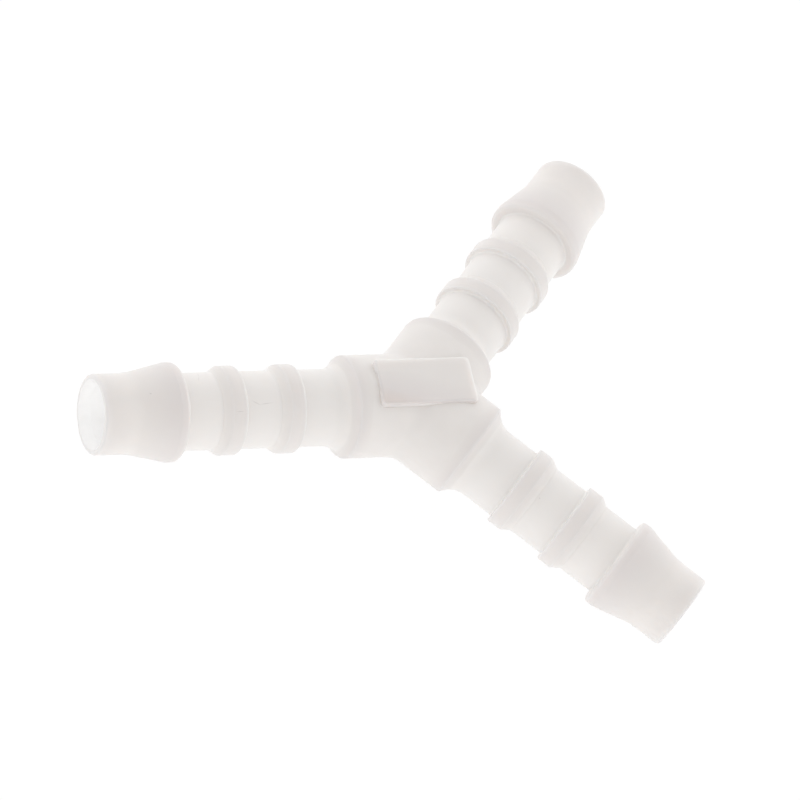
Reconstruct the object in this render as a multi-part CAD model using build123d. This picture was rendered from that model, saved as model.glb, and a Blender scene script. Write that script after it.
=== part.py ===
from build123d import *
import math
import os

# A Y connector for flexible tubing, moulded in one piece. The axes of its three legs cross at
# the origin and lie in the XY plane. The inlet leg points along -X, and the two branch legs
# lie half of BRANCH_ANGLE to each side of +X. All three legs have the same section.
# All lengths are in millimetres.

BRANCH_ANGLE = 90.0  # degrees between the two branch legs

# Waterway
BORE_DIAMETER = 6.0
LEAD_IN_DEPTH = 1.2  # length of the cone that opens the bore out to each mouth
MOUTH_WALL = 0.5  # wall left round each mouth
LIP_CHAMFER = 0.3  # on the outside of the mouth

# Hub: a plain length of cylinder on each leg, with a hollow shoulder down to the shank
HUB_DIAMETER = 10.3
HUB_REACH = 7.55  # from the crossing of the axes to the hub's end corner
SHOULDER_RADIUS = 2.5

# Shank, which carries the ridges that hold the tubing
SHANK_DIAMETER = 7.7
SHANK_LENGTH = 3.4  # plain length between the shoulder and the first ring
RIDGE_PITCH = 6.25  # from the back of one ridge to the back of the next

# Ring: a square back, a flat crest and a short ramp
RING_COUNT = 2  # on each leg, before its end barb
RING_HEIGHT = 0.575
RING_CREST_LENGTH = 1.55
RING_RAMP_LENGTH = 0.9

# End barb: a square back with a broken edge, a narrow crest and a long ramp to the nose
BARB_HEIGHT = 1.075
BARB_CREST_LENGTH = 1.0
BARB_RAMP_LENGTH = 4.1
BARB_EDGE_CHAMFER = 0.2

# Nose, which the tubing is started on
NOSE_DIAMETER = 8.0
NOSE_LENGTH = 3.55

# Pad: a flat raised rectangle on top of the hub
PAD_LENGTH = 10.4
PAD_WIDTH = 5.0
PAD_OFFSET = -0.3  # along X, from the crossing of the axes to the pad's centre
PAD_PROUD = 0.2  # height of the pad's face above the crown of the hub
PAD_CORNER_RADIUS = 0.45
PAD_EDGE_CHAMFER = 0.1

SAME_PLACE = 1e-6  # two points closer than this are one

# Places along a leg, from the crossing of the axes
SHOULDER_DROP = (HUB_DIAMETER - SHANK_DIAMETER) / 2
SHOULDER_LENGTH = math.sqrt(SHOULDER_RADIUS**2 - (SHOULDER_RADIUS - SHOULDER_DROP) ** 2)
SHANK_START = HUB_REACH + SHOULDER_LENGTH
RIDGE_BACKS = [SHANK_START + SHANK_LENGTH + i * RIDGE_PITCH for i in range(RING_COUNT + 1)]
BARB_FRONT = RIDGE_BACKS[-1] + BARB_CREST_LENGTH
NOSE_START = BARB_FRONT + BARB_RAMP_LENGTH
LEG_LENGTH = NOSE_START + NOSE_LENGTH

LEG_DIRECTIONS = (180.0, BRANCH_ANGLE / 2, -BRANCH_ANGLE / 2)  # degrees about +Z, from +X


def ring_corners(back):
    """Corners of one ring's section, from the foot of its back to the foot of its ramp."""
    foot = SHANK_DIAMETER / 2
    crest = foot + RING_HEIGHT
    front = back + RING_CREST_LENGTH
    return [(back, foot), (back, crest), (front, crest), (front + RING_RAMP_LENGTH, foot)]


def barb_corners(back):
    """Corners of the end barb's section, from the foot of its back to the foot of its ramp."""
    foot = SHANK_DIAMETER / 2
    crest = foot + BARB_HEIGHT
    return [(back, foot), (back, crest), (BARB_FRONT, crest), (NOSE_START, NOSE_DIAMETER / 2)]


def broken_corner(face, corner, size):
    """The section with one of its corners cut off."""
    vertex = [v for v in face.vertices() if (Vector(v) - Vector(*corner)).length < SAME_PLACE]
    return chamfer(vertex, size)


def leg_section():
    """Half section of one leg's outside, from the crossing of the axes to the open end."""
    rings = [corner for back in RIDGE_BACKS[:-1] for corner in ring_corners(back)]
    barb = barb_corners(RIDGE_BACKS[-1])
    hub_end = (HUB_REACH, HUB_DIAMETER / 2)
    shank_start = (SHANK_START, SHANK_DIAMETER / 2)
    lip = (LEG_LENGTH, NOSE_DIAMETER / 2)
    outline = Polyline((LEG_LENGTH, 0), (0, 0), (0, HUB_DIAMETER / 2), hub_end)
    outline += RadiusArc(hub_end, shank_start, -SHOULDER_RADIUS)
    outline += Polyline(shank_start, *rings, *barb, lip, (LEG_LENGTH, 0))
    face = broken_corner(make_face(outline), barb[1], BARB_EDGE_CHAMFER)
    return broken_corner(face, lip, LIP_CHAMFER)


def bore_section():
    """Half section of one leg's bore, from the crossing of the axes to its mouth."""
    bore, mouth = BORE_DIAMETER / 2, NOSE_DIAMETER / 2 - MOUTH_WALL
    cone_start = LEG_LENGTH - LEAD_IN_DEPTH
    corners = [(0, 0), (0, bore), (cone_start, bore), (LEG_LENGTH, mouth), (LEG_LENGTH, 0)]
    return make_face(Polyline(*corners, close=True))


def on_each_leg(section):
    """The section turned into a solid about each leg's axis."""
    solid = revolve(section, Axis.X)
    return [Rot(0, 0, direction) * solid for direction in LEG_DIRECTIONS]


def pad():
    """The raised pad, which runs down into the hub as far as the legs' axes."""
    outline = Pos(PAD_OFFSET, 0) * RectangleRounded(PAD_LENGTH, PAD_WIDTH, PAD_CORNER_RADIUS)
    block = extrude(outline, HUB_DIAMETER / 2 + PAD_PROUD)
    return chamfer(block.faces().sort_by(Axis.Z)[-1].edges(), PAD_EDGE_CHAMFER)


def y_connector():
    return Part() + on_each_leg(leg_section()) + pad() - on_each_leg(bore_section())


def main():
    os.makedirs("parts", exist_ok=True)
    connector = y_connector()
    connector.label = "y_connector"
    export_step(connector, "parts/y_connector.step")


main()
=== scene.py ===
"""A moulded plastic Y connector for tubing: its visible piece, its plastic and its stage.

Laid out as an add-on and run as a script. Lengths are in metres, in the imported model's frame:
the three legs' axes cross at the origin in the XY plane, the inlet leg points along -X and the
pad faces +Z.
"""

import math
from bisect import bisect_left

import bmesh
import bpy
from mathutils import Matrix, Vector


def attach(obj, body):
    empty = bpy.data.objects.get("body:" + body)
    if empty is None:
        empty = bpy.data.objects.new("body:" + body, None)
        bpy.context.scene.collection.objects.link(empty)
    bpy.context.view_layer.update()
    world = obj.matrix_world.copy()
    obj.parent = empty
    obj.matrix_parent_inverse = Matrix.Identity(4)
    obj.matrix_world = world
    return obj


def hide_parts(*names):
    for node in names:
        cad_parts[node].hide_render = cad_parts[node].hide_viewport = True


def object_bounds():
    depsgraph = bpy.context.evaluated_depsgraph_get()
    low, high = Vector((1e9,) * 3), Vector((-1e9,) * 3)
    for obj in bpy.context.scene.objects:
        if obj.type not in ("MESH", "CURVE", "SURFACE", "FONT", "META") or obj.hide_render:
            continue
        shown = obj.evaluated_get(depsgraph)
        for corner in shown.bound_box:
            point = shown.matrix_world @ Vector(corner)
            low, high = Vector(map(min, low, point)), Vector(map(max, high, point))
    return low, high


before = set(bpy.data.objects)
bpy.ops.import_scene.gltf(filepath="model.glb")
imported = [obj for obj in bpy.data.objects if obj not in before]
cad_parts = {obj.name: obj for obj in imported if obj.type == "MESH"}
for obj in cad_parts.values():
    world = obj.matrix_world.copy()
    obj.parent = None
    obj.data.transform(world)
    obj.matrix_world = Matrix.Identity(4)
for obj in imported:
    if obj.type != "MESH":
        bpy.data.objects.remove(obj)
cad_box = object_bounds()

bl_info = {
    "name": "Tubing Y connector",
    "version": (1, 0, 0),
    "blender": (4, 5, 0),
    "location": "View3D > Sidebar > Connector",
    "description": "Builds a moulded Y connector for tubing, with its plastic and its stage",
    "category": "Object",
}

MM = 0.001
NODE = "y_connector"
BODY = "root"


# ---------------------------------------------------------------- properties


def length(name, description, default_mm):
    """A length that a user can change, with its default in millimetres."""
    return bpy.props.FloatProperty(
        name=name, description=description, default=default_mm * MM, min=0.0,
        precision=5, subtype="DISTANCE", unit="LENGTH")


def count(name, description, default):
    return bpy.props.IntProperty(name=name, description=description, default=default, min=1)


def number(name, description, default, high=1.0):
    return bpy.props.FloatProperty(
        name=name, description=description, default=default, min=0.0, max=high, precision=3)


def angle(name, description, default_degrees):
    return bpy.props.FloatProperty(
        name=name, description=description, default=math.radians(default_degrees),
        subtype="ANGLE", unit="ROTATION")


def linear(hex_colour):
    """An sRGB hex value as linear red, green and blue."""
    channels = [int(hex_colour[i : i + 2], 16) / 255 for i in (1, 3, 5)]
    return [c / 12.92 if c <= 0.04045 else ((c + 0.055) / 1.055) ** 2.4 for c in channels]


def colour(name, description, hex_colour):
    return bpy.props.FloatVectorProperty(
        name=name, description=description, default=linear(hex_colour), size=3,
        min=0.0, max=1.0, subtype="COLOR")


class ConnectorSizes(bpy.types.PropertyGroup):
    """Sizes of the connector. All three legs share one section."""

    branch_angle: angle("Branch angle", "Between the two branch legs", 90)
    bore_diameter: length("Bore", "Diameter of the three bores", 6.0)
    lead_in_depth: length("Lead-in", "Length of the cone inside each mouth", 1.2)
    mouth_wall: length("Mouth wall", "Wall left round each mouth", 0.5)
    lip_radius: length("Lip radius", "Round on the outside of each mouth", 0.33)
    mouth_radius: length("Mouth radius", "Round on the inside of each mouth", 0.12)
    hub_diameter: length("Hub", "Diameter of the hub", 10.3)
    hub_reach: length("Hub reach", "From the crossing of the axes to the hub's end", 7.55)
    hub_edge_radius: length("Hub edge radius", "Round on the hub's end corner", 0.25)
    crotch_radius: length("Crotch radius", "Fillet between the inlet and a branch", 2.4)
    branch_crotch_radius: length("Branch crotch radius", "Fillet between the branches", 1.0)
    shoulder_radius: length("Shoulder radius", "Hollow curve from the hub to the shank", 2.5)
    shank_diameter: length("Shank", "Diameter of the shank", 7.7)
    shank_length: length("Shank length", "From the shoulder to the first ring", 3.4)
    ridge_pitch: length("Ridge pitch", "From the back of one ridge to the next", 6.25)
    ring_count: count("Rings", "Rings on each leg, before its end barb", 2)
    ring_height: length("Ring height", "Height of a ring above the shank", 0.575)
    ring_crest: length("Ring crest", "Length of a ring's flat crest", 1.55)
    ring_ramp: length("Ring ramp", "Length of a ring's ramp", 0.9)
    ring_edge_radius: length("Ring edge radius", "Round on a ring's corners", 0.1)
    root_radius: length("Root radius", "Fillet at the foot of each ridge", 0.22)
    barb_height: length("Barb height", "Height of the end barb above the shank", 1.075)
    barb_crest: length("Barb crest", "Length of the end barb's crest", 1.0)
    barb_ramp: length("Barb ramp", "Length of the end barb's ramp", 4.1)
    barb_edge_radius: length("Barb edge radius", "Round on the end barb's corners", 0.4)
    ramp_foot_radius: length("Ramp foot radius", "Blend where the ramp meets the nose", 8.0)
    nose_diameter: length("Nose", "Diameter of the nose", 8.0)
    nose_length: length("Nose length", "Length of the plain nose", 3.55)
    pad_length: length("Pad length", "Length of the raised pad", 10.4)
    pad_width: length("Pad width", "Width of the raised pad", 5.0)
    pad_shift: length("Pad shift", "How far the pad sits towards the inlet", 0.3)
    pad_proud: length("Pad height", "Height of the pad above the hub's crown", 0.2)
    pad_corner_radius: length("Pad corner radius", "Round on the pad's corners", 0.45)
    pad_edge_radius: length("Pad edge radius", "Round on the edges of the pad's face", 0.1)
    pad_foot: length("Pad foot", "How far the pad runs down inside the hub's crown", 1.75)
    turns: count("Segments round", "Faces round each leg, a multiple of four", 120)


class PlasticSettings(bpy.types.PropertyGroup):
    """Look of the plastic."""

    # painted light and shade: these tones go by how thick the plastic looks and stand in for how
    # much light gets through it, so thin walls are painted lighter and the rings, barbs and pad
    # darker
    shank: colour("Shank", "Colour of the thin wall of the shanks", "#F0ECE9")
    ring: colour("Ring", "Colour of the thicker plastic of the rings", "#EAE6E3")
    barb: colour("Barb", "Colour of the thick plastic of the end barbs", "#E4DFDD")
    deepest: colour("Deepest", "Colour of the thickest plastic, under the pad", "#DED6D2")
    # painted light: the bores are painted near white, standing in for light that comes through the
    # thin walls
    inside: colour("Inside", "Colour of the bores, which light reaches from all round", "#FFFDFB")
    # painted shade, laid over jutting corners, the nose towards its mouth, the ridges' backs and
    # the pad's shaded sides
    shade: colour("Shade", "Laid over corners that catch light from two sides", "#EBECEE")
    # painted light in the folds at the feet of the ridges and ramps, against the shade that falls
    # there
    lift: colour("Lift", "Colour of the corner at the foot of each ridge", "#FFFDFB")
    speck: colour("Speck", "Colour of the odd speck and hairline", "#7A6E68")
    depth: length("Light depth", "How far light travels inside the plastic", 0.8)
    depth_inside: length("Light depth inside", "How far light travels to the bores' walls", 12.0)
    smoothest: number("Smoothest", "Roughness where the mould is best polished", 0.32)
    roughest: number("Roughest", "Roughness where the mould is least polished", 0.4)


class StageSettings(bpy.types.PropertyGroup):
    """Floor, light and camera."""

    floor: colour("Floor", "Colour of the floor", "#FFFFFF")
    shadow: number("Shadow", "How much of the object's shadow the lit floor shows", 0.15)
    light_front: number("Light in front", "Strength of the tent at its opening", 0.6, high=4.0)
    light_behind: number(
        "Light behind", "Strength of the tent opposite its opening", 2.35, high=4.0)
    opening_azimuth: angle("Opening azimuth", "Bearing of the light tent's opening", -45)
    opening_elevation: angle("Opening elevation", "Height of the light tent's opening", 80)
    azimuth: angle("Azimuth", "Camera's bearing, with 0 looking along +Y", -45.66)
    elevation: angle("Elevation", "Camera's height above the floor", 54.24)
    roll: angle("Roll", "Camera's turn about its own line of sight", 37.94)
    distance: length("Distance", "From the camera to the crossing of the axes", 607.24)
    focal_length: number("Focal length", "In millimetres, on a 36 mm sensor", 273.26, high=500.0)
    aim_right: length("Aim right", "Crossing of the axes, right of the picture's middle", 0.97)
    aim_below: length("Aim below", "Crossing of the axes, below the picture's middle", 0.485)


# ---------------------------------------------------------------- shape of a leg

ROUNDING_STEPS = 5  # faces round each rounded corner
SHOULDER_STEPS = 10  # faces along the hollow shoulder
BORE_START_ROWS = 8  # rows from the planes between the bores to the first round row
OUTSIDE_SPACING = 0.5 * MM  # between rows on the outside
BORE_SPACING = 1.5 * MM  # between rows inside the bore
HOLDING_MARGIN = 0.04 * MM  # a row this near each corner keeps straight stretches flat
SHORT_STRETCH = 0.24 * MM  # a stretch no longer than this gets no rows of its own
HUB_ROWS = 18  # rows from the planes between the legs to the hub's end
ROW_CROWDING = 1.7  # above 1, the rows lie closer near those planes, in the fillet
MERGE_DISTANCE = 0.0005 * MM  # rows of two legs meet in points closer than this


def shoulder_corners(sizes):
    """Corners along the hollow curve from the hub down to the shank."""
    radius, shank = sizes.shoulder_radius, sizes.shank_diameter / 2
    drop = sizes.hub_diameter / 2 - shank
    full_turn = math.acos(1 - drop / radius)
    end = sizes.hub_reach + radius * math.sin(full_turn)
    turns = [full_turn * (1 - k / SHOULDER_STEPS) for k in range(1, SHOULDER_STEPS + 1)]
    return [(end - radius * math.sin(t), shank + radius * (1 - math.cos(t)), 0) for t in turns]


def ridge_corners(sizes, back, height, crest, edge_radius):
    """Corners of a ridge's square back and its crest."""
    shank = sizes.shank_diameter / 2
    return [
        (back, shank, sizes.root_radius),
        (back, shank + height, edge_radius),
        (back + crest, shank + height, edge_radius),
    ]


def outline(sizes):
    """Corners of a leg's section as (station, radius, rounding), from the hub out along the
    outside to the lip and back along the bore."""
    shank, nose, bore = sizes.shank_diameter / 2, sizes.nose_diameter / 2, sizes.bore_diameter / 2
    hub = sizes.hub_diameter / 2
    corners = [(0, hub, 0), (sizes.hub_reach, hub, sizes.hub_edge_radius)]
    corners += shoulder_corners(sizes)
    back = corners[-1][0] + sizes.shank_length
    for _ in range(sizes.ring_count):
        corners += ridge_corners(
            sizes, back, sizes.ring_height, sizes.ring_crest, sizes.ring_edge_radius)
        corners.append((back + sizes.ring_crest + sizes.ring_ramp, shank, sizes.root_radius))
        back += sizes.ridge_pitch
    corners += ridge_corners(
        sizes, back, sizes.barb_height, sizes.barb_crest, sizes.barb_edge_radius)
    nose_start = back + sizes.barb_crest + sizes.barb_ramp
    tip = nose_start + sizes.nose_length
    corners += [
        (nose_start, nose, sizes.ramp_foot_radius),
        (tip, nose, sizes.lip_radius),
        (tip, nose - sizes.mouth_wall, sizes.mouth_radius),
        (tip - sizes.lead_in_depth, bore, sizes.lip_radius),
        (0, bore, 0),
    ]
    return corners


def rounded(corners):
    """Points along an outline with its corners rounded."""
    points = [Vector(corners[0][:2])]
    for last, (x, y, rounding), after in zip(corners, corners[1:], corners[2:]):
        here = Vector((x, y))
        if rounding == 0:
            points.append(here)
            continue
        to_last = (Vector(last[:2]) - here).normalized()
        to_next = (Vector(after[:2]) - here).normalized()
        half = to_last.angle(to_next) / 2
        centre = here + (to_last + to_next).normalized() * rounding / math.sin(half)
        start = here + to_last * rounding / math.tan(half) - centre
        end = here + to_next * rounding / math.tan(half) - centre
        for k in range(ROUNDING_STEPS + 1):
            points.append(centre + start.slerp(end, k / ROUNDING_STEPS) * rounding)
    points.append(Vector(corners[-1][:2]))
    return points


def divided(points, spacing):
    """The points, with more along each long stretch, and one near each of its ends."""
    made = [points[0]]
    for a, b in zip(points, points[1:]):
        step = b - a
        if step.length > SHORT_STRETCH:
            margin = HOLDING_MARGIN / step.length
            parts = max(1, round(step.length / spacing))
            made += [a + step * margin]
            made += [a + step * k / parts for k in range(1, parts)]
            made += [b - step * margin]
        made.append(b)
    return made


def lip_index(points):
    """Index of the point on the lip where the outside ends and the bore starts."""
    return max(range(len(points)), key=lambda i: (points[i].x, -points[i].y))


def section_points(sizes):
    """Points of the leg's section: the outside from the hub's end, then the bore inwards. The
    two stretches that start between the legs are left to leg_rows."""
    points = rounded(outline(sizes))
    lip = lip_index(points)
    outside = divided(points[1 : lip + 1], OUTSIDE_SPACING)
    bore_end = Vector((sizes.hub_reach, points[-1].y))
    bore = divided(points[lip:-1] + [bore_end], BORE_SPACING)
    return outside + bore[1:]


def ring_of_points(station, radius, leg, sizes):
    """Points round a leg at one station."""
    along, aside = leg["along"], leg["aside"]
    points = []
    for i in range(sizes.turns):
        turn = 2 * math.pi * i / sizes.turns
        side, up = radius * math.cos(turn), radius * math.sin(turn)
        points.append(along * station + aside * side + Vector((0, 0, up)))
    return points


def start_rows(ring, leg, steps, widest):
    """Rows from a round row of the leg back to the planes that part it from the other legs,
    where the first row lies. The fold between two legs gets its whole fillet at the widest
    point from the axis, and less nearer the crown. A bore's rows are given no widest point,
    and meet in sharp folds."""
    along, aside = leg["along"], leg["aside"]
    rows = [[] for _ in range(steps)]
    for point in ring:
        side = point.dot(aside)
        gap, fillet = leg["folds"][0] if side > 0 else leg["folds"][1]
        radius = fillet * abs(side) / widest if widest else 0.0
        outward = aside * math.copysign(1, side)
        halfway = along * math.cos(gap) + outward * math.sin(gap)
        corner = point + along * (abs(side) / math.tan(gap) - point.dot(along))
        centre = corner + halfway * radius / math.sin(gap)
        foot = corner + along * radius / math.tan(gap)
        arc, straight = radius * (math.pi / 2 - gap), (point - foot).dot(along)
        for k, row in enumerate(rows):
            way = (arc + straight) * (k / steps) ** ROW_CROWDING
            if way < arc:
                row.append(centre + (-halfway).slerp(-outward, way / arc) * radius)
            else:
                row.append(foot + along * (way - arc))
    return rows


def leg_rows(sizes, leg):
    """All rows of one leg, from where it meets the others outside to where it meets them in
    the bore."""
    rings = [ring_of_points(p.x, p.y, leg, sizes) for p in section_points(sizes)]
    hub = start_rows(rings[0], leg, HUB_ROWS, sizes.hub_diameter / 2)
    bore = start_rows(rings[-1], leg, BORE_START_ROWS, None)
    return hub + rings + bore[::-1]


def add_leg(bm, rows):
    """Faces between the rows of one leg."""
    made = [[bm.verts.new(p) for p in row] for row in rows]
    for near, far in zip(made, made[1:]):
        for i in range(len(near)):
            j = (i + 1) % len(near)
            bm.faces.new((near[i], near[j], far[j], far[i]))


def leg_layout(sizes):
    """Direction of each leg and of its left side, with the folds on its left and its right:
    half the angle to the next leg, and the fillet between them."""
    half = sizes.branch_angle / 2
    wide = ((math.pi - half) / 2, sizes.crotch_radius)
    narrow = (half, sizes.branch_crotch_radius)
    layout = ((math.pi, wide, wide), (half, wide, narrow), (-half, narrow, wide))
    return [
        {
            "along": Vector((math.cos(turn), math.sin(turn), 0)),
            "aside": Vector((-math.sin(turn), math.cos(turn), 0)),
            "folds": (left, right),
        }
        for turn, left, right in layout
    ]


# ---------------------------------------------------------------- pad and moulding

PAD_CORNER_STEPS = 8
PAD_EDGE_STEPS = 4
PAD_RIM = 0.4 * MM  # width of the rim of the pad's face
PAD_SIDE_ROWS = (0.5 * MM, 0.3 * MM, 0.1 * MM)  # below the hub's crown, on the pad's sides
PLACE_TOLERANCE = 0.001 * MM


def pad_outline(sizes, inset):
    """Points round the pad seen from above, drawn in by the inset."""
    radius = sizes.pad_corner_radius
    points = []
    for quarter, (sx, sy) in enumerate(((1, 1), (-1, 1), (-1, -1), (1, -1))):
        x = sx * (sizes.pad_length / 2 - radius) - sizes.pad_shift
        y = sy * (sizes.pad_width / 2 - radius)
        for k in range(PAD_CORNER_STEPS + 1):
            turn = math.pi / 2 * (quarter + k / PAD_CORNER_STEPS)
            points.append(
                (x + (radius - inset) * math.cos(turn), y + (radius - inset) * math.sin(turn)))
    return points


def pad_mesh(sizes):
    """The raised pad, closed, with its foot inside the hub."""
    crown = sizes.hub_diameter / 2
    face, edge = crown + sizes.pad_proud, sizes.pad_edge_radius
    levels = [(0.0, crown - drop) for drop in (sizes.pad_foot, *PAD_SIDE_ROWS)]
    levels.append((0.0, face - edge - HOLDING_MARGIN))
    for k in range(PAD_EDGE_STEPS + 1):
        turn = math.pi / 2 * k / PAD_EDGE_STEPS
        levels.append((edge * (1 - math.cos(turn)), face - edge + edge * math.sin(turn)))
    levels += [(edge + HOLDING_MARGIN, face), (PAD_RIM, face)]
    bm = bmesh.new()
    rows = [[bm.verts.new((x, y, z)) for x, y in pad_outline(sizes, inset)] for inset, z in levels]
    for low, high in zip(rows, rows[1:]):
        for i in range(len(low)):
            j = (i + 1) % len(low)
            bm.faces.new((low[i], low[j], high[j], high[i]))
    bm.faces.new(rows[0][::-1])
    bm.faces.new(rows[-1])
    return new_object("pad", bm)


def new_object(name, bm):
    """A shown object from a bmesh, which is freed."""
    mesh = bpy.data.meshes.new(name)
    bm.to_mesh(mesh)
    bm.free()
    obj = bpy.data.objects.new(name, mesh)
    bpy.context.collection.objects.link(obj)
    return obj


def legs_mesh(sizes):
    """The three legs as one closed mesh, joined in the planes between them."""
    bm = bmesh.new()
    for leg in leg_layout(sizes):
        add_leg(bm, leg_rows(sizes, leg))
    bmesh.ops.remove_doubles(bm, verts=bm.verts, dist=MERGE_DISTANCE)
    bmesh.ops.recalc_face_normals(bm, faces=bm.faces)
    return new_object("y_connector_moulding", bm)


def join_solid(obj, other):
    """Joins another closed mesh to this one as one solid."""
    union = obj.modifiers.new("join", "BOOLEAN")
    union.operation, union.solver, union.object = "UNION", "EXACT", other
    bpy.context.view_layer.update()
    made = bpy.data.meshes.new_from_object(obj.evaluated_get(bpy.context.evaluated_depsgraph_get()))
    obj.modifiers.clear()
    obj.data = made
    bpy.data.objects.remove(other)


CREASE_ANGLE = math.radians(24)  # edges that turn more than this stay sharp


def shade_smooth(obj):
    """Smooth shading that keeps the creases between the legs and round the pad's foot."""
    bm = bmesh.new()
    bm.from_mesh(obj.data)
    for face in bm.faces:
        face.smooth = True
    for edge in bm.edges:
        edge.smooth = len(edge.link_faces) == 2 and edge.calc_face_angle() < CREASE_ANGLE
    bm.to_mesh(obj.data)
    bm.free()


WALL_BLUR = 0.35 * MM  # light spreads this far along the leg between thick and thin plastic
WALL_SAMPLES = 7  # over that spread
HUB_WALL, HUB_RIM_WALL = 1.05 * MM, 1.6 * MM  # how thick the hub and its rim look, set for painted light and shade: the hub looks thinner than it is, so lighter, and its rim darker
HUB_RIM = 1.2 * MM  # length of the hub's thick rim
RIM_END, SHANK_START = 0.1, 0.4  # parts of the shoulder where one look ends and one starts
CORNER_SHADE, CORNER_LIGHT = 0.65, 0.75  # painted shade where the outside juts out, and painted light where it folds in
CORNER_REACH = 0.2 * MM  # how far a corner's painted shade or light spreads
JUT_POWER, FOLD_POWER = 2, 4  # how fast a corner counts less as it gets blunter
BACK_SHADE = 0.1  # painted shade, so the ridges' backs look no lighter than their crests
MOUTH_SHADE, MOUTH_REACH, MOUTH_POWER = 0.6, 6.0 * MM, 3  # painted shade outside, over the nose towards its mouth
MOUTH_DIM, MOUTH_DIM_REACH = 0.8, 1.6 * MM  # inside, there is less light near the mouth
# painted light and shade: how thick the plastic looks on the pad's face, its two shaded sides and
# its two lit ones, the shaded sides darker
PAD_FACE_WALL, PAD_SHADED_WALL, PAD_LIT_WALL = 1.3 * MM, 2.1 * MM, 1.3 * MM
PAD_RIM_SHADE, PAD_SIDE_SHADE = 0.6, 0.3  # painted shade on the face's rim and the side, where it is shaded
CLEAR_OF_HUB = 0.01 * MM  # a vertex this far above the hub's cylinder belongs to the pad


ATTRIBUTES = ("wall", "inside", "shade", "lift")


def along_line(points, x):
    """Height at x of the line through the points, level beyond its ends."""
    i = min(max(bisect_left(points, (x,)), 1), len(points) - 1)
    (x0, y0), (x1, y1) = points[i - 1], points[i]
    part = (x - x0) / (x1 - x0) if x1 > x0 else 1.0
    return y0 + (y1 - y0) * min(max(part, 0.0), 1.0)


def wall_line(sizes):
    """How thick the plastic looks along a leg, as points (station, wall)."""
    points = rounded(outline(sizes))
    lip = lip_index(points)
    outside, tip = [(p.x, p.y) for p in points[: lip + 1]], points[lip].x
    bore, shank = sizes.bore_diameter / 2, sizes.shank_diameter / 2
    shoulder_end, rim = shoulder_corners(sizes)[-1][0], sizes.hub_reach
    shoulder = shoulder_end - rim
    line = [
        (0.0, HUB_WALL),
        (rim - HUB_RIM, HUB_WALL),
        (rim - HUB_RIM / 2, HUB_RIM_WALL),
        (rim + shoulder * RIM_END, HUB_RIM_WALL),
        (rim + shoulder * SHANK_START, shank - bore),
    ]
    steps = round((tip - shoulder_end) / (WALL_BLUR / 2))
    for k in range(steps + 1):
        station = shoulder_end + (tip - shoulder_end) * k / steps
        spread = [WALL_BLUR * (2 * j / (WALL_SAMPLES - 1) - 1) for j in range(WALL_SAMPLES)]
        walls = [along_line(outside, min(max(station + d, shoulder_end), tip)) for d in spread]
        line.append((station, sum(walls) / len(walls) - bore))
    return line


def section_corners(sizes):
    """The leg's corners as (station, radius, strength): above 0 where the outside juts out,
    below 0 where it folds in."""
    corners = outline(sizes)
    found = []
    for last, (x, y, rounding), after in zip(corners, corners[1:], corners[2:]):
        a, b = Vector((x - last[0], y - last[1])), Vector((after[0] - x, after[1] - y))
        if rounding and y > sizes.bore_diameter / 2:
            turn = -a.normalized().cross(b.normalized())
            found.append((x, y, turn ** JUT_POWER if turn > 0 else -(turn ** FOLD_POWER)))
    return found


def leg_look(station, radius, backward, walls, corners, sizes):
    """Values of a vertex on a leg or in its bore. Backward is how far its normal leans to the
    hub."""
    to_tip = walls[-1][0] - station
    corner = sum(
        strength * math.exp(-math.hypot(station - x, radius - y) ** 2 / CORNER_REACH ** 2)
        for x, y, strength in corners)
    mouth = max(0.0, 1 - to_tip / MOUTH_REACH) ** MOUTH_POWER * MOUTH_SHADE
    dimmer = max(0.0, 1 - to_tip / MOUTH_DIM_REACH) * MOUTH_DIM
    in_bore = radius < sizes.nose_diameter / 2 - sizes.mouth_wall
    # painted shade at jutting corners, over the nose and on the ridges' backs, and painted light in
    # the folds
    return {
        "wall": along_line(walls, station) / MM,
        "inside": 1 - dimmer if in_bore else 0.0,
        "shade": max(corner, 0.0) * CORNER_SHADE + mouth + backward * BACK_SHADE,
        "lift": max(-corner, 0.0) * CORNER_LIGHT,
    }


def pad_look(place, radius, sizes):
    """Values of a vertex on the pad, or none where the place isn't on it. Painted light and shade:
    the pad's sides beyond the diagonal that runs from its back inlet corner to its front outlet
    corner are painted as lit, the others darker, as shaded."""
    crown = sizes.hub_diameter / 2
    face = crown + sizes.pad_proud
    x, y = place.x + sizes.pad_shift, place.y
    from_edge = min(sizes.pad_length / 2 - abs(x), sizes.pad_width / 2 - abs(y))
    lowest = crown - PAD_SIDE_ROWS[0] - PLACE_TOLERANCE
    if from_edge < -PLACE_TOLERANCE or place.z < lowest or radius < crown + CLEAR_OF_HUB:
        return {}
    lit = x / sizes.pad_length + y / sizes.pad_width > 0
    at_face = place.z > face - PLACE_TOLERANCE
    at_rim = place.z > face - sizes.pad_edge_radius - PLACE_TOLERANCE
    inside_rim = at_face and from_edge > PAD_RIM - PLACE_TOLERANCE
    side_wall = PAD_LIT_WALL if lit else PAD_SHADED_WALL
    side_shade = PAD_RIM_SHADE if at_rim else PAD_SIDE_SHADE
    return {
        "wall": (PAD_FACE_WALL if at_face else side_wall) / MM,
        "shade": 0.0 if lit or inside_rim else side_shade,
    }


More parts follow.
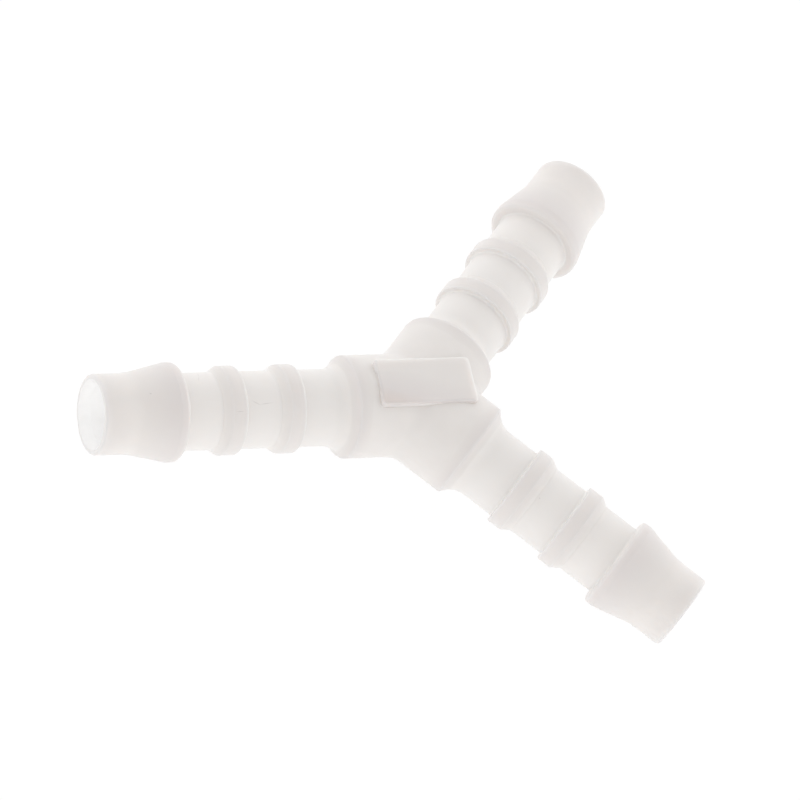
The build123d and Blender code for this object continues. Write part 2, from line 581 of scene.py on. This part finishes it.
def paint_attributes(obj, sizes):
    """Writes how thick the plastic looks at each vertex, in millimetres, how far the vertex has the
    look of a bore, and how far a corner or the mouth shades or lifts its colour: painted light and
    shade that the material lays on the plastic's colour."""
    walls, corners = wall_line(sizes), section_corners(sizes)
    legs = [leg["along"] for leg in leg_layout(sizes)]
    made = {name: obj.data.attributes.new(name, "FLOAT", "POINT").data for name in ATTRIBUTES}
    known = {}
    for vertex in obj.data.vertices:
        along = max(legs, key=vertex.co.dot)
        station = vertex.co.dot(along)
        radius = (vertex.co - along * station).length
        key = (round(station / MM, 3), round(radius / MM, 3))
        if key not in known:
            on_leg = station > sizes.hub_reach
            backward = max(0.0, -vertex.normal.dot(along)) if on_leg else 0.0
            known[key] = leg_look(station, radius, backward, walls, corners, sizes)
        values = {**known[key], **pad_look(vertex.co, radius, sizes)}
        for name in ATTRIBUTES:
            made[name][vertex.index].value = values[name]


class CONNECTOR_OT_moulding(bpy.types.Operator):
    """Build the connector's one moulding: three barbed legs, the hub and its pad"""

    bl_idname = "connector.moulding"
    bl_label = "Moulding"

    def execute(self, context):
        sizes = context.scene.connector_sizes
        obj = legs_mesh(sizes)
        join_solid(obj, pad_mesh(sizes))
        shade_smooth(obj)
        paint_attributes(obj, sizes)
        obj.data.materials.clear()
        obj.data.materials.append(moulded_polypropylene(context.scene.connector_plastic, sizes))
        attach(obj, BODY)
        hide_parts(NODE)
        return {"FINISHED"}


# ---------------------------------------------------------------- plastic


def add_node(tree, kind, inputs=None, **settings):
    """Adds a node with its own settings, and a value, another node or one of its outputs on
    each input."""
    made = tree.nodes.new(kind)
    for name, value in settings.items():
        setattr(made, name, value)
    for name, value in (inputs or {}).items():
        if isinstance(value, bpy.types.Node):
            value = value.outputs[0]
        if isinstance(value, bpy.types.NodeSocket):
            tree.links.new(value, made.inputs[name])
        else:
            made.inputs[name].default_value = value
    return made


def empty_tree(owner):
    """The node tree of a material or a world, emptied."""
    owner.use_nodes = True
    owner.node_tree.nodes.clear()
    return owner.node_tree


FACTOR, FIRST, SECOND, MIXED = 0, 6, 7, 2  # a colour Mix node's three inputs and its output

# how thick the plastic looks for each of its colours, in millimetres
SHANK_WALL, THIN_WALL, RING_WALL, BARB_WALL, DEEPEST_WALL = 0.85, 0.9, 1.1, 1.93, 2.4
REFRACTION = 1.49  # of polypropylene
CLOUD_SIZE = 2.5 * MM  # cloudiness left by the flow of the melt
CLOUD_DETAIL = 3.0
CLOUD_DRIFT = 0.12  # how much it changes the thickness, in millimetres
CLOUD_LOW, CLOUD_HIGH = 0.3, 0.7  # its noise seldom leaves this range
GRAIN_SIZE = 0.3 * MM  # the mould's polishing grain is nearer 0.02 mm, too fine to show
GRAIN_DETAIL = 2.0
GRAIN_HEIGHT, GRAIN_STRENGTH = 0.01 * MM, 0.3
LIGHT_SPREAD = (1.0, 0.96, 0.92)  # red light goes a little farther into the plastic than blue
# painted shade: how thick the pad's face looks changes with the place, in millimetres per metre, so
# it is darker towards its front and its inlet end, and again beyond a line along the pad, where a
# band along its back is lighter, but it never looks thinner than the least wall
PAD_SLOPE = (-90.0, -290.0, 0.0)
PAD_BAND, PAD_BAND_BLUR = 1.15 * MM, 0.15 * MM
PAD_BAND_STEP = -0.25
PAD_LEAST_WALL = 1.15
# specks and hairlines left by handling: from, to and half the width, in millimetres
MARKS = (
    ((-29.6, -0.03, 4.27), (-29.45, -0.03, 4.3), 0.1),
    ((-23.3, 2.9, 2.52), (-23.5, 2.26, 3.12), 0.06),
    ((-23.5, 2.26, 3.12), (-23.86, 1.5, 3.54), 0.06),
    ((-20.7, -2.1, 3.9), (-19.9, -2.1, 3.9), 0.06),
    ((-18.8, -0.86, 3.75), (-17.8, -1.37, 3.6), 0.06),
    ((-18.0, -1.27, 3.63), (-16.5, -1.12, 3.68), 0.06),
    ((9.89, -12.55, 3.36), (9.95, -12.5, 3.36), 0.1),
)
MARK_STRENGTH = 0.18
MARK_CORE = 0.3  # a mark has its full strength within this part of its half width


def pad_shaded_thickness(tree, place, wall, sizes):
    """Thickness in millimetres, with painted shade on the pad's face: it looks thinner, so lighter,
    to its back and its outlet end, and lighter again in a band along its back.
    """
    axes = add_node(tree, "ShaderNodeSeparateXYZ", {0: place})
    middle = (sizes.hub_diameter + sizes.pad_proud) / 2
    face = add_node(
        tree, "ShaderNodeMath", {0: axes.outputs["Z"], 1: middle}, operation="GREATER_THAN")
    beyond = add_node(
        tree, "ShaderNodeMapRange",
        {"Value": axes.outputs["Y"], "From Min": PAD_BAND - PAD_BAND_BLUR,
         "From Max": PAD_BAND + PAD_BAND_BLUR})
    band = add_node(tree, "ShaderNodeMath", {0: beyond, 1: face}, operation="MULTIPLY")
    banded = add_node(
        tree, "ShaderNodeMath", {0: band, 1: PAD_BAND_STEP, 2: wall}, operation="MULTIPLY_ADD")
    slope = add_node(
        tree, "ShaderNodeVectorMath", {0: place, 1: PAD_SLOPE}, operation="DOT_PRODUCT")
    sloping = add_node(
        tree, "ShaderNodeMath", {0: slope.outputs["Value"], 1: face, 2: banded},
        operation="MULTIPLY_ADD")
    least = add_node(tree, "ShaderNodeMath", {0: face, 1: PAD_LEAST_WALL}, operation="MULTIPLY")
    return add_node(tree, "ShaderNodeMath", {0: sloping, 1: least}, operation="MAXIMUM")


def wall_shade_colour(tree, thickness, plastic):
    """Colour of the plastic for its thickness: painted light and shade that stand in for how much
    light gets through the wall, lighter where thin and darker where thick.
    """
    span = DEEPEST_WALL - SHANK_WALL
    part = add_node(
        tree, "ShaderNodeMapRange",
        {"Value": thickness, "From Min": SHANK_WALL, "From Max": DEEPEST_WALL})
    made = add_node(tree, "ShaderNodeValToRGB", {"Fac": part})
    ramp = made.color_ramp
    stops = (
        (THIN_WALL, plastic.shank), (RING_WALL, plastic.ring), (BARB_WALL, plastic.barb),
        (DEEPEST_WALL, plastic.deepest))
    for _ in range(len(stops) - len(ramp.elements)):
        ramp.elements.new(0.5)
    for element, (at, tone) in zip(ramp.elements, stops):
        element.position = (at - SHANK_WALL) / span
        element.color = (*tone, 1)
    return made


def add_marks(tree, place):
    """How strongly a place is marked. Each mark is an ellipsoid round its hairline."""
    marks = None
    for near, far, width in MARKS:
        start, end = Vector(near) * MM, Vector(far) * MM
        reach = Vector(((end - start).length / 2 + width * MM, width * MM, width * MM))
        spot = add_node(
            tree, "ShaderNodeMapping",
            {"Vector": place, "Location": (start + end) / 2, "Scale": reach,
             "Rotation": (end - start).to_track_quat("X", "Z").to_euler()},
            vector_type="TEXTURE")
        away = add_node(tree, "ShaderNodeVectorMath", {0: spot}, operation="LENGTH")
        mark = add_node(
            tree, "ShaderNodeMapRange",
            {"Value": away.outputs["Value"], "From Min": 1.0, "From Max": MARK_CORE})
        marks = mark if marks is None else add_node(
            tree, "ShaderNodeMath", {0: marks, 1: mark}, operation="MAXIMUM")
    return add_node(tree, "ShaderNodeMath", {0: marks, 1: MARK_STRENGTH}, operation="MULTIPLY")


def moulded_polypropylene(plastic, sizes):
    """Natural polypropylene, injection moulded. Uncoloured, it is milky: light sinks in, so edges
    and thin walls glow and thick ridges look greyer; its light scattering gives some of this, and
    painted light and shade in its colour give the rest, with the bores and folds painted lighter
    and corners, the nose and the pad's shaded sides darker. The polished mould leaves a soft satin
    gloss."""
    material = bpy.data.materials.new("natural_polypropylene_moulded")
    tree = empty_tree(material)
    wall, inside, shade, lift = (
        add_node(tree, "ShaderNodeAttribute", attribute_name=name).outputs["Fac"]
        for name in ATTRIBUTES)
    place = add_node(tree, "ShaderNodeTexCoord").outputs["Object"]
    cloud, grain = (
        add_node(
            tree, "ShaderNodeTexNoise", {"Vector": place, "Scale": 1 / size, "Detail": detail}
        ).outputs["Fac"]
        for size, detail in ((CLOUD_SIZE, CLOUD_DETAIL), (GRAIN_SIZE, GRAIN_DETAIL)))

    drift = add_node(
        tree, "ShaderNodeMapRange", {"Value": cloud, "To Min": -CLOUD_DRIFT, "To Max": CLOUD_DRIFT})
    clouded = add_node(
        tree, "ShaderNodeMath", {0: pad_shaded_thickness(tree, place, wall, sizes), 1: drift},
        operation="ADD")
    tone = wall_shade_colour(tree, clouded, plastic)
    # painted light in the folds and the bores, painted shade at corners, over the nose and on the
    # pad's shaded sides, then the real specks and hairlines
    for factor, laid_over, blend in (
        (lift, plastic.lift, "MIX"),
        (inside, plastic.inside, "MIX"),
        (shade, plastic.shade, "MULTIPLY"),
        (add_marks(tree, place), plastic.speck, "MIX"),
    ):
        tone = add_node(
            tree, "ShaderNodeMix", {FACTOR: factor, FIRST: tone, SECOND: (*laid_over, 1)},
            data_type="RGBA", blend_type=blend).outputs[MIXED]

    polish = add_node(
        tree, "ShaderNodeMapRange",
        {"Value": cloud, "From Min": CLOUD_LOW, "From Max": CLOUD_HIGH,
         "To Min": plastic.smoothest, "To Max": plastic.roughest})
    relief = add_node(
        tree, "ShaderNodeBump",
        {"Height": grain, "Strength": GRAIN_STRENGTH, "Distance": GRAIN_HEIGHT})
    depth = add_node(
        tree, "ShaderNodeMapRange",
        {"Value": inside, "To Min": plastic.depth, "To Max": plastic.depth_inside})
    shader = add_node(
        tree, "ShaderNodeBsdfPrincipled",
        {
            "Base Color": tone,
            "Roughness": polish,
            "Normal": relief,
            "IOR": REFRACTION,
            "Subsurface Weight": 1.0,
            "Subsurface Radius": LIGHT_SPREAD,
            "Subsurface Scale": depth,
        },
        subsurface_method="RANDOM_WALK")
    add_node(tree, "ShaderNodeOutputMaterial", {"Surface": shader})
    return material


# ---------------------------------------------------------------- stage

FLOOR_SIDE = 4.0  # metres
FLOOR_GLOW = 1.04  # the unshaded floor is just past white
WHITE = (1, 1, 1, 1)
SENSOR_WIDTH = 36  # millimetres
CAMERA_SIGHT = (0.01, 10)  # nearest and farthest that the camera sees, in metres


def lit_acrylic(stage):
    """Opal acrylic, cast and lit from below to an even white. Its matt face still shows the
    object's shadow, faint and soft."""
    material = bpy.data.materials.new("opal_acrylic_lit")
    tree = empty_tree(material)
    paint = add_node(
        tree, "ShaderNodeBsdfPrincipled",
        {"Base Color": (*stage.floor, 1), "Roughness": 1.0, "Specular IOR Level": 0.0})
    white = add_node(tree, "ShaderNodeEmission", {"Color": WHITE, "Strength": FLOOR_GLOW})
    mixed = add_node(tree, "ShaderNodeMixShader", {0: 1 - stage.shadow, 1: paint, 2: white})
    add_node(tree, "ShaderNodeOutputMaterial", {"Surface": mixed})
    return material


def add_floor(stage, level):
    """A flat floor, far wider than the picture."""
    bm = bmesh.new()
    bmesh.ops.create_grid(bm, x_segments=4, y_segments=4, size=FLOOR_SIDE / 2)
    bmesh.ops.translate(bm, verts=bm.verts, vec=(0, 0, level))
    floor = new_object("floor", bm)
    floor.data.materials.append(lit_acrylic(stage))


def bearing(azimuth, elevation):
    """Unit vector towards a bearing, with 0 looking along +Y, and a height above the floor."""
    flat = math.cos(elevation)
    return Vector((math.sin(azimuth) * flat, -math.cos(azimuth) * flat, math.sin(elevation)))


def add_surround(stage):
    """A light tent: soft light from all round, less of it from its opening, and plain white
    wherever it is seen."""
    world = bpy.data.worlds.new("surround")
    bpy.context.scene.world = world
    tree = empty_tree(world)
    ray = add_node(tree, "ShaderNodeLightPath")
    direction = add_node(tree, "ShaderNodeTexCoord")
    opening = bearing(stage.opening_azimuth, stage.opening_elevation)
    nearness = add_node(
        tree, "ShaderNodeVectorMath", {0: direction.outputs["Generated"], 1: opening},
        operation="DOT_PRODUCT")
    strength = add_node(
        tree, "ShaderNodeMapRange",
        {"Value": nearness.outputs["Value"], "From Min": -1.0, "From Max": 1.0,
         "To Min": stage.light_behind, "To Max": stage.light_front})
    seen = add_node(
        tree, "ShaderNodeMath", {0: ray.outputs["Is Camera Ray"], 1: ray.outputs["Is Glossy Ray"]},
        operation="MAXIMUM")
    seen = add_node(
        tree, "ShaderNodeMath", {0: seen, 1: ray.outputs["Is Transmission Ray"]},
        operation="MAXIMUM")
    light = add_node(tree, "ShaderNodeBackground", {"Color": WHITE, "Strength": strength})
    white = add_node(tree, "ShaderNodeBackground", {"Color": WHITE, "Strength": 1.0})
    mixed = add_node(tree, "ShaderNodeMixShader", {0: seen, 1: light, 2: white})
    add_node(tree, "ShaderNodeOutputWorld", {"Surface": mixed})


def add_camera(stage):
    """A long lens high in front of the inlet leg, turned about its line of sight."""
    back = bearing(stage.azimuth, stage.elevation)
    turned = (-back).to_track_quat("-Z", "Y").to_matrix() @ Matrix.Rotation(stage.roll, 3, "Z")
    right, up = turned.col[0], turned.col[1]
    data = bpy.data.cameras.new("camera")
    data.lens, data.sensor_width = stage.focal_length, SENSOR_WIDTH
    data.clip_start, data.clip_end = CAMERA_SIGHT
    camera = bpy.data.objects.new("camera", data)
    camera.location = back * stage.distance - right * stage.aim_right + up * stage.aim_below
    camera.rotation_mode = "QUATERNION"
    camera.rotation_quaternion = turned.to_quaternion()
    bpy.context.collection.objects.link(camera)
    bpy.context.scene.camera = camera


class CONNECTOR_OT_stage(bpy.types.Operator):
    """Set out the floor, the light and the camera"""

    bl_idname = "connector.stage"
    bl_label = "Stage"

    def execute(self, context):
        stage = context.scene.connector_stage
        add_floor(stage, cad_box[0].z)
        add_surround(stage)
        add_camera(stage)
        context.scene.view_settings.view_transform = "Standard"
        return {"FINISHED"}


class CONNECTOR_PT_panel(bpy.types.Panel):
    """Lists the connector's operators and settings"""

    bl_idname = "CONNECTOR_PT_panel"
    bl_label = "Tubing Y connector"
    bl_space_type = "VIEW_3D"
    bl_region_type = "UI"
    bl_category = "Connector"

    def draw(self, context):
        scene = context.scene
        for operator, settings in (
            (CONNECTOR_OT_moulding, (scene.connector_sizes, scene.connector_plastic)),
            (CONNECTOR_OT_stage, (scene.connector_stage,)),
        ):
            self.layout.operator(operator.bl_idname)
            for group in settings:
                for name in group.__annotations__:
                    self.layout.prop(group, name)


CLASSES = (
    ConnectorSizes,
    PlasticSettings,
    StageSettings,
    CONNECTOR_OT_moulding,
    CONNECTOR_OT_stage,
    CONNECTOR_PT_panel,
)


def register():
    for cls in CLASSES:
        bpy.utils.register_class(cls)
    bpy.types.Scene.connector_sizes = bpy.props.PointerProperty(type=ConnectorSizes)
    bpy.types.Scene.connector_plastic = bpy.props.PointerProperty(type=PlasticSettings)
    bpy.types.Scene.connector_stage = bpy.props.PointerProperty(type=StageSettings)


def unregister():
    del bpy.types.Scene.connector_sizes
    del bpy.types.Scene.connector_plastic
    del bpy.types.Scene.connector_stage
    for cls in reversed(CLASSES):
        bpy.utils.unregister_class(cls)


def main():
    register()
    bpy.ops.connector.moulding()
    bpy.ops.connector.stage()


if __name__ == "__main__":
    main()
